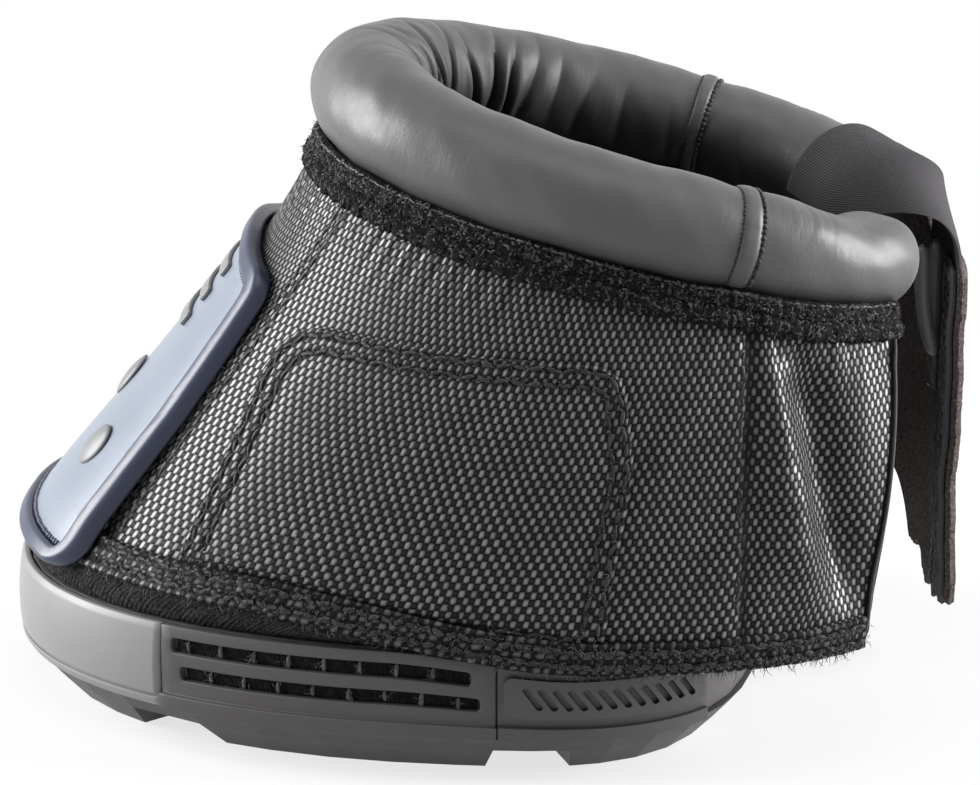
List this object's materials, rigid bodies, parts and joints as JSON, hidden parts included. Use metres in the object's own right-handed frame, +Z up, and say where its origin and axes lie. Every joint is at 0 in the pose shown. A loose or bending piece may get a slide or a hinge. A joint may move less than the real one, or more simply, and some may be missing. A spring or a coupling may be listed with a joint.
{
  "type": "horse hoof boot",
  "caption": "Dark fabric boot for a horse's hoof, with a moulded rubber sole, padded leather collar, toe shield, opening rear wings and a folding heel flap.",
  "frame": {"origin": "on the ground face of the sole's centre pad, below the middle of the sole", "axes": "-X to the toe, +X to the heel, +Y to the boot's right side, +Z up from the ground"},
  "size_m": [0.2042, 0.1466, 0.1398],
  "materials": {
    "sole_rubber": "satin moulded",
    "tread_rubber": "satin moulded",
    "toe_rubber": "satin moulded",
    "insole_foam": "matt foam",
    "nylon": "coarse basket weave",
    "lining_fabric": "matt knit",
    "binding_tape": "matt woven tape",
    "shield_plate": "satin moulded",
    "shield_rim": "satin moulded",
    "shield_grey": "satin moulded",
    "collar_leather": "soft, slightly shiny",
    "collar_foam": "matt foam",
    "twill": "diagonal ribs",
    "loop_fabric": "brushed loop",
    "hook_tape": "bristly hooks"
  },
  "bodies": {
    "boot": {"tread": "tread_rubber", "sole_tray": "sole_rubber", "insole_pad": "insole_foam", "toe_cap": "toe_rubber", "side_frame_left": "sole_rubber", "side_frame_right": "sole_rubber", "heel_panel_left": "sole_rubber", "heel_panel_right": "sole_rubber", "sole_skirt": "lining_fabric", "lining_front": "lining_fabric", "quarter_left": "nylon", "toe_panel": "nylon", "quarter_right": "nylon", "hem_band_front": "binding_tape", "collar_binding_front": "binding_tape", "side_patch_left": "nylon", "side_patch_right": "nylon", "shield_plate": "shield_plate", "shield_rim": "shield_rim", "shield_stud_1": "shield_grey", "shield_stud_2": "shield_grey", "shield_stud_3": "shield_grey", "shield_bar_1": "shield_grey", "shield_bar_2": "shield_grey", "shield_bar_3": "shield_grey", "collar_cover_front": "collar_leather", "collar_foam_front": "collar_foam", "collar_strip_left": "collar_leather", "collar_strip_right": "collar_leather"},
    "left_wing": {"wing_lining_left": "lining_fabric", "wing_panel_left": "nylon", "hem_band_left": "binding_tape", "collar_binding_left": "binding_tape", "collar_cover_left": "collar_leather", "collar_foam_left": "collar_foam", "hook_tape": "hook_tape"},
    "right_wing": {"wing_lining_right": "lining_fabric", "wing_panel_right": "nylon", "hem_band_right": "binding_tape", "collar_binding_right": "binding_tape", "collar_cover_right": "collar_leather", "collar_foam_right": "collar_foam", "heel_band_root": "twill"},
    "heel_flap": {"heel_flap": "loop_fabric", "flap_edge_tape": "twill", "heel_band": "twill", "leather_roll_1": "collar_leather", "leather_roll_2": "collar_leather", "pull_tab": "collar_leather"}
  },
  "joints": [
    {"name": "left_wing_hinge", "type": "hinge", "parent": "boot", "child": "left_wing", "pos_m": [0.077, -0.074, 0.025], "axis": [0, -0.143, -0.9897], "range_deg": [0, 30]},
    {"name": "right_wing_hinge", "type": "hinge", "parent": "boot", "child": "right_wing", "pos_m": [0.077, 0.074, 0.025], "axis": [0, -0.143, 0.9897], "range_deg": [0, 30]},
    {"name": "heel_flap_hinge", "type": "hinge", "parent": "right_wing", "child": "heel_flap", "pos_m": [0.10508, 0.05282, 0.033], "axis": [0.0809, -0.2856, 0.9549], "range_deg": [0, 110]}
  ]
}
